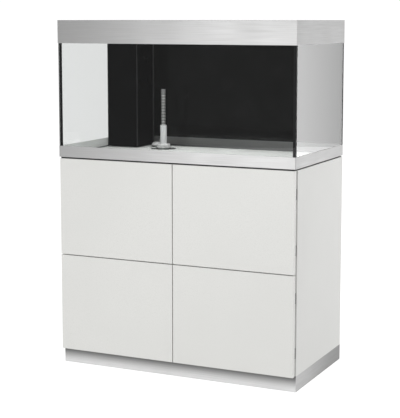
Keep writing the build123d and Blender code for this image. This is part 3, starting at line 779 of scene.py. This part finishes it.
@dataclass
class Hood:
    """Metal hood with its lid, rear cover, cable grommet and two light bars."""

    sides: tuple[str, ...] = ("hood_front", "hood_rear", "hood_left", "hood_right")
    flap_count: int = 8
    flap_gap: float = 0.0005
    flap_thickness: float = 0.0012
    bore: float = 0.0152
    screw_inset: float = 0.010  # screws in from a bracket's and a leaf's ends
    arm_width: float = 0.040
    wall: float = 0.0025  # the rails' thickness under the brackets
    foot_screw_height: float = 0.012  # above the foot's lower edge
    leaf_half: float = 0.020
    leaf_t: float = 0.0012
    leaf_screw_inset: float = 0.007  # from the leaf's free edge
    leaf_end_inset: float = 0.006
    hinge_x: float = 0.330
    flap_drop: float = 0.004  # flaps below the grommet's top

    def build(self) -> None:
        """Dress the sheet metal, the lid and the lights, and add flaps and screws."""
        clothe(self.sides, HOOD_METAL)
        clothe(("hood_lid", "rear_cover"), LID_PLASTIC)
        clothe(("lid_hinge_fixed", "lid_hinge_moving"), BLACK_PLASTIC)
        clothe(("hood_corner_brackets", "light_brackets"), BLACK_PLASTIC)
        clothe(("cable_grommet",), RUBBER)
        clothe(("light_bars",), LAMP_METAL)
        clothe(("light_lenses",), LENS)
        self.grommet_flaps()
        self.bracket_screws()
        self.hinge_screws("lid_hinge_fixed", STAND)
        self.hinge_screws("lid_hinge_moving", "lid")

    def grommet_flaps(self) -> None:
        """Rubber flaps that close the grommet round a cable."""
        low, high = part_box("cable_grommet")
        middle = (low + high) / 2
        mesh = bmesh.new()
        place = Matrix.Translation((middle.x, middle.y, high.z - self.flap_drop))
        bmesh.ops.create_circle(
            mesh, cap_ends=True, cap_tris=True, segments=32, radius=self.bore, matrix=place
        )
        bmesh.ops.split_edges(mesh, edges=mesh.edges[:])
        for face in mesh.faces:
            arm = face.calc_center_median() - place.translation
            turn = (math.atan2(arm.y, arm.x) % math.tau) // (math.tau / self.flap_count) + 0.5
            angle = turn * math.tau / self.flap_count
            away = Vector((math.cos(angle), math.sin(angle), 0)) * self.flap_gap
            bmesh.ops.translate(mesh, vec=away, verts=face.verts)
        bmesh.ops.remove_doubles(mesh, verts=mesh.verts, dist=0.00001)
        bmesh.ops.recalc_face_normals(mesh, faces=mesh.faces)
        bmesh.ops.solidify(mesh, geom=mesh.faces[:], thickness=self.flap_thickness)
        settle("grommet_flaps", mesh, RUBBER, STAND)

    def bracket_screws(self) -> None:
        """Two screws in the upright foot of each light bracket."""
        low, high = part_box("light_brackets")
        rows = (low.y + self.arm_width / 2, high.y - self.arm_width / 2)
        places = [
            (
                (sign * (high.x - self.wall), y + side * self.screw_inset, low.z + self.foot_screw_height),
                (-sign, 0, 0),
            )
            for sign in (-1, 1)
            for y in rows
            for side in (-1, 1)
        ]
        screws("light_bracket_screws", places, STEEL, STAND)

    def hinge_screws(self, leaf: str, body: str) -> None:
        """Two screws in each leaf of the lid's hinges.

        Args:
            leaf: Node of the leaves.
            body: The body they move with.
        """
        low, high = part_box(leaf)
        inset = self.leaf_screw_inset
        y = high.y - inset if body == STAND else low.y + inset
        leaf_top = low.z + self.leaf_t
        arm = self.leaf_half - self.leaf_end_inset
        places = [
            ((sign * self.hinge_x + side * arm, y, leaf_top), (0, 0, 1))
            for sign in (-1, 1)
            for side in (-1, 1)
        ]
        screws(f"{leaf}_screws", places, STEEL, body, Screw(0.0025, 0.001))


@dataclass
class Cabinet:
    """Carcass on its plinth, with the four doors, their hinges and push latches."""

    rows: tuple[str, ...] = ("lower", "upper")
    hands: tuple[str, ...] = ("left", "right")
    hinge_half: float = 0.0203
    plate_t: float = 0.003
    plate_screw_inset: float = 0.012  # from the plate's front edge, and from its middle
    board: float = 0.018
    cap_radius: float = 0.0085
    cap_height: float = 0.0008
    cap_inset: float = 0.034  # from an upright board's face
    cap_rows: tuple[float, float] = (-0.19, 0.2)
    back_steps: tuple[int, int] = (8, 6)  # gaps between the rear panel's screws, across and up

    def build(self) -> None:
        """Dress every board and moving part, and add screws and cover caps."""
        clothe(("side_panel_left", "side_panel_right", "cabinet_bottom", "cabinet_top"), BOARD)
        clothe(("centre_divider", "back_panel", "shelf"), BOARD)
        clothe(("plinth_rails", "plinth_sides"), PLINTH_METAL)
        clothe(("hinge_plates",), HINGE_METAL)
        clothe(("hinge_pins", "shelf_pins"), STEEL)
        clothe(("latch_bodies",), BLACK_PLASTIC)
        for row in self.rows:
            for hand in self.hands:
                clothe((f"door_{row}_{hand}",), LACQUER)
                clothe((f"door_{row}_{hand}_hinges",), HINGE_METAL)
                clothe((f"latch_plunger_{row}_{hand}",), PLUNGER)
        self.hinge_screws()
        self.back_screws()
        self.cover_caps()

    def hinge_heights(self) -> list[float]:
        """Height of every door hinge, from the boxes of the doors' hinge parts."""
        heights = []
        for row in self.rows:
            low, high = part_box(f"door_{row}_left_hinges")
            heights += [low.z + self.hinge_half, high.z - self.hinge_half]
        return heights

    def hinge_screws(self) -> None:
        """Two screws in the plate of each hinge on the side panels."""
        _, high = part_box("hinge_plates")
        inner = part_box("side_panel_right")[0].x - self.plate_t
        y = high.y - self.plate_screw_inset
        plates = [
            ((sign * inner, y, z + side * self.plate_screw_inset), (-sign, 0, 0))
            for sign in (-1, 1)
            for z in self.hinge_heights()
            for side in (-1, 1)
        ]
        screws("hinge_plate_screws", plates, STEEL, STAND)

    def back_screws(self) -> None:
        """Screws round the rear panel and down its middle, into the boards' edges."""
        low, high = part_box("back_panel")
        inset = self.board / 2
        wide, tall = self.back_steps
        across = [low.x + inset + (high.x - low.x - 2 * inset) * n / wide for n in range(wide + 1)]
        up = [low.z + inset + (high.z - low.z - 2 * inset) * n / tall for n in range(1, tall)]
        edge = [(x, z) for x in across for z in (low.z + inset, high.z - inset)]
        edge += [(0.0, z) for z in up]
        screws("back_panel_screws", [((x, high.y, z), (0, 1, 0)) for x, z in edge], STEEL, STAND)

    def cover_caps(self) -> None:
        """Plastic caps over the cam locks in the floor and the roof of each bay."""
        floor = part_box("cabinet_bottom")[1].z
        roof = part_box("cabinet_top")[0].z
        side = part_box("side_panel_right")[0].x - self.cap_inset
        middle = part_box("centre_divider")[1].x + self.cap_inset
        mesh = bmesh.new()
        for x in (-side, -middle, middle, side):
            for y in self.cap_rows:
                for z, way in ((floor, 1), (roof, -1)):
                    self.cap(mesh, (x, y, z), way)
        settle("cam_lock_caps", mesh, WHITE_PLASTIC, STAND)

    def cap(self, mesh: bmesh.types.BMesh, place: Sequence[float], way: int) -> None:
        """Add one low domed cap.

        Args:
            mesh: The mesh that takes it.
            place: Its middle, on the board.
            way: 1 if it faces up, -1 if it faces down.
        """
        turn = Matrix.Translation(place) @ pointing((0, 0, way))
        ring = bmesh.ops.create_circle(mesh, cap_ends=True, segments=24, radius=self.cap_radius, matrix=turn)
        base = ring["verts"][0].link_faces[0]
        raised = bmesh.ops.extrude_face_region(mesh, geom=[base])["geom"]
        face = next(f for f in raised if isinstance(f, bmesh.types.BMFace))
        rise = Vector((0, 0, way * self.cap_height))
        bmesh.ops.translate(mesh, vec=rise * 0.6, verts=face.verts)
        bmesh.ops.inset_region(mesh, faces=[face], thickness=0.0006, use_even_offset=True)
        bmesh.ops.translate(mesh, vec=rise * 0.4, verts=face.verts)


# ------------------------------------------------------------------ studio


@dataclass
class Softbox:
    """A rectangular soft light."""

    name: str
    place: tuple[float, float, float]
    target: tuple[float, float, float]
    size: tuple[float, float]
    glow: float  # brightness of its face
    only_on: tuple[str, ...] = ()  # nodes it lights, if not all
    never_on: tuple[str, ...] = ()  # nodes it leaves out
    mirrored: bool = True  # whether glossy surfaces show it
    graded: tuple[float, float] | None = None  # its glow at its two ends, as shares

    def build(self) -> None:
        """Hang the light and aim it."""
        lamp = bpy.data.lights.new(self.name, "AREA")
        lamp.shape = "RECTANGLE"
        lamp.size, lamp.size_y = self.size
        lamp.energy = self.glow * math.pi * self.size[0] * self.size[1]
        light = bpy.data.objects.new(self.name, lamp)
        light.location = self.place
        aim = Vector(self.target) - Vector(self.place)
        light.rotation_euler = aim.to_track_quat("-Z", "Y").to_euler()
        light.visible_camera = False
        light.visible_transmission = False
        light.visible_glossy = self.mirrored
        if self.graded:
            self.grade(lamp)
        bpy.context.scene.collection.objects.link(light)
        if self.only_on or self.never_on:
            lit = bpy.data.collections.new(f"{self.name}_lit")
            for node in self.only_on + self.never_on:
                lit.objects.link(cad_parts[node])
            light.light_linking.receiver_collection = lit
            state = "INCLUDE" if self.only_on else "EXCLUDE"
            for entry in lit.collection_objects:
                entry.light_linking.link_state = state
        log.info("light %s", self.name)

    def grade(self, lamp: bpy.types.Light) -> None:
        """Make the light's glow change evenly from one end to the other."""
        lamp.use_nodes = True
        tree = lamp.node_tree
        across = tree.nodes.new("ShaderNodeNewGeometry")
        split = tree.nodes.new("ShaderNodeSeparateXYZ")
        share = tree.nodes.new("ShaderNodeMapRange")
        tree.links.new(across.outputs["Parametric"], split.inputs[0])
        tree.links.new(split.outputs[0], share.inputs["Value"])
        share.inputs["To Min"].default_value, share.inputs["To Max"].default_value = self.graded
        glow = next(node for node in tree.nodes if node.type == "EMISSION")
        tree.links.new(share.outputs[0], glow.inputs["Strength"])


@dataclass
class Studio:
    """White studio: a pale floor, a white surround and soft lights."""

    panes: tuple[str, ...] = (
        "front_pane", "rear_pane", "left_pane", "right_pane", "floor_pane",
        "shaft_front_pane", "shaft_side_pane", "back_film",
    )
    fittings: tuple[str, ...] = (
        "return_adaptor", "return_hose", "return_nozzle", "return_union_nut", "return_bulkhead",
        "suction_bulkhead",
    )
    tank_foot: tuple[str, ...] = ("safety_mat", "floor_seam", "base_frame")
    floor_radius: float = 9.0
    floor_glow: float = 0.32  # the floor's own glow on the aquarium
    floor_seen: float = 0.72  # and to the camera
    seen: float = 1.05  # the surround's brightness to the camera
    through_glass: float = 0.93
    mirrored: float = 0.17  # in polished glass
    sheen: float = 0.45  # in satin metal
    diffuse: float = 0.49

    def build(self) -> None:
        """Make the surround, the floor and the lights."""
        self.surround()
        self.floor()
        for light in (
            Softbox("front_card", (-0.32, -3.4, 1.15), (0.0, 0.0, 1.0), (2.7, 2.1), 1.46, (), self.panes),
            Softbox("side_card", (1.75, 2.9, 1.3), (0.4, 0.0, 1.1), (1.6, 2.4), 0.76, (), self.panes),
            Softbox("side_fill", (3.1, 1.4, 1.2), (0.5, 0.0, 0.7), (1.6, 2.0), 1.5, (), self.panes, False),
            Softbox("top_card", (0.3, -0.9, 3.4), (0.0, 0.0, 0.6), (2.4, 2.0), 0.9, (), self.panes),
            Softbox(
                "pane_card", (1.55, 2.9, 1.1), (0.5, 0.0, 1.1), (0.7, 2.2), 2.85, ("right_pane",),
                graded=(1.55, 0.3),
            ),
            Softbox("tank_glow", (0.0, 0.0, 1.315), (0.0, 0.0, 0.0), (0.95, 0.46), 2.2, self.fittings),
            Softbox("mat_glow", (0.0, 0.0, 1.315), (0.0, 0.0, 0.0), (0.95, 0.46), 4.4, self.tank_foot),
        ):
            light.build()

    def surround(self) -> None:
        """White world, with a brightness for each kind of ray."""
        world = bpy.data.worlds.new("white_studio")
        world.use_nodes = True
        tree = world.node_tree
        tree.nodes.clear()
        paths = tree.nodes.new("ShaderNodeLightPath")
        glow: bpy.types.NodeSocket | float = self.diffuse
        mirrored_first = tree.nodes.new("ShaderNodeMath")  # left the glass after a mirror image inside it
        mirrored_first.operation = "MULTIPLY"
        tree.links.new(paths.outputs["Is Transmission Ray"], mirrored_first.inputs[0])
        tree.links.new(paths.outputs["Glossy Depth"], mirrored_first.inputs[1])
        mirrored_first.use_clamp = True
        steps = (
            (paths.outputs["Is Glossy Ray"], self.sheen),
            (paths.outputs["Is Singular Ray"], self.mirrored),
            (paths.outputs["Is Transmission Ray"], self.through_glass),
            (mirrored_first.outputs[0], self.mirrored),
            (paths.outputs["Is Camera Ray"], self.seen),
        )
        for share, level in steps:
            blend = tree.nodes.new("ShaderNodeMix")
            tree.links.new(share, blend.inputs[0])
            if isinstance(glow, float):
                blend.inputs[2].default_value = glow
            else:
                tree.links.new(glow, blend.inputs[2])
            blend.inputs[3].default_value = level
            glow = blend.outputs[0]
        light = tree.nodes.new("ShaderNodeBackground")
        light.inputs["Color"].default_value = grey(1.0)
        tree.links.new(glow, light.inputs["Strength"])
        out = tree.nodes.new("ShaderNodeOutputWorld")
        tree.links.new(light.outputs[0], out.inputs["Surface"])
        bpy.context.scene.world = world

    def floor(self) -> None:
        """Wide pale floor that fades into the surround."""
        mesh = bmesh.new()
        bmesh.ops.create_circle(mesh, cap_ends=True, segments=96, radius=self.floor_radius)
        data = bpy.data.meshes.new("studio_floor")
        mesh.to_mesh(data)
        mesh.free()
        shader = Shader("studio_floor")
        tone = shader.mix(shader.noise(1.2, 3.0), grey(0.80), grey(0.83))
        lit, seen = (
            shader.principled(
                Base_Color=tone, Roughness=0.7, Emission_Color=grey(1.0), Emission_Strength=glow
            )
            for glow in (self.floor_glow, self.floor_seen)
        )
        looked_at = shader.node("ShaderNodeLightPath", output="Is Camera Ray")
        surface = shader.node("ShaderNodeMixShader", inputs={0: looked_at, 1: lit, 2: seen})
        data.materials.append(shader.finish(surface))
        floor = bpy.data.objects.new("studio_floor", data)
        bpy.context.scene.collection.objects.link(floor)


@dataclass
class Viewpoint:
    """The camera: a little right of the front, with its eye near the hood's height."""

    place: tuple[float, float, float] = (2.103, -4.491, 1.415)
    turn: float = 25.18  # to the left of the front's own direction, in degrees
    dip: float = 6.93
    lens: float = 105.16
    shift_up: float = -0.10

    def build(self) -> None:
        """Make the camera and choose it."""
        data = bpy.data.cameras.new("camera")
        data.lens = self.lens
        data.sensor_width = 36.0
        data.shift_y = self.shift_up
        data.clip_start, data.clip_end = 0.1, 60.0
        camera = bpy.data.objects.new("camera", data)
        camera.location = self.place
        camera.rotation_euler = (math.radians(90 - self.dip), 0.0, math.radians(self.turn))
        bpy.context.scene.collection.objects.link(camera)
        bpy.context.scene.camera = camera


def main() -> None:
    """Build the studio and dress the aquarium, part by part."""
    logging.basicConfig(level=logging.INFO, format="%(name)s: %(message)s")
    bpy.context.scene.view_settings.view_transform = "Standard"
    for part in (Viewpoint(), Cabinet(), BaseFrame(), Tank(), Fittings(), Hood(), Studio()):
        part.build()


if __name__ == "__main__":
    main()
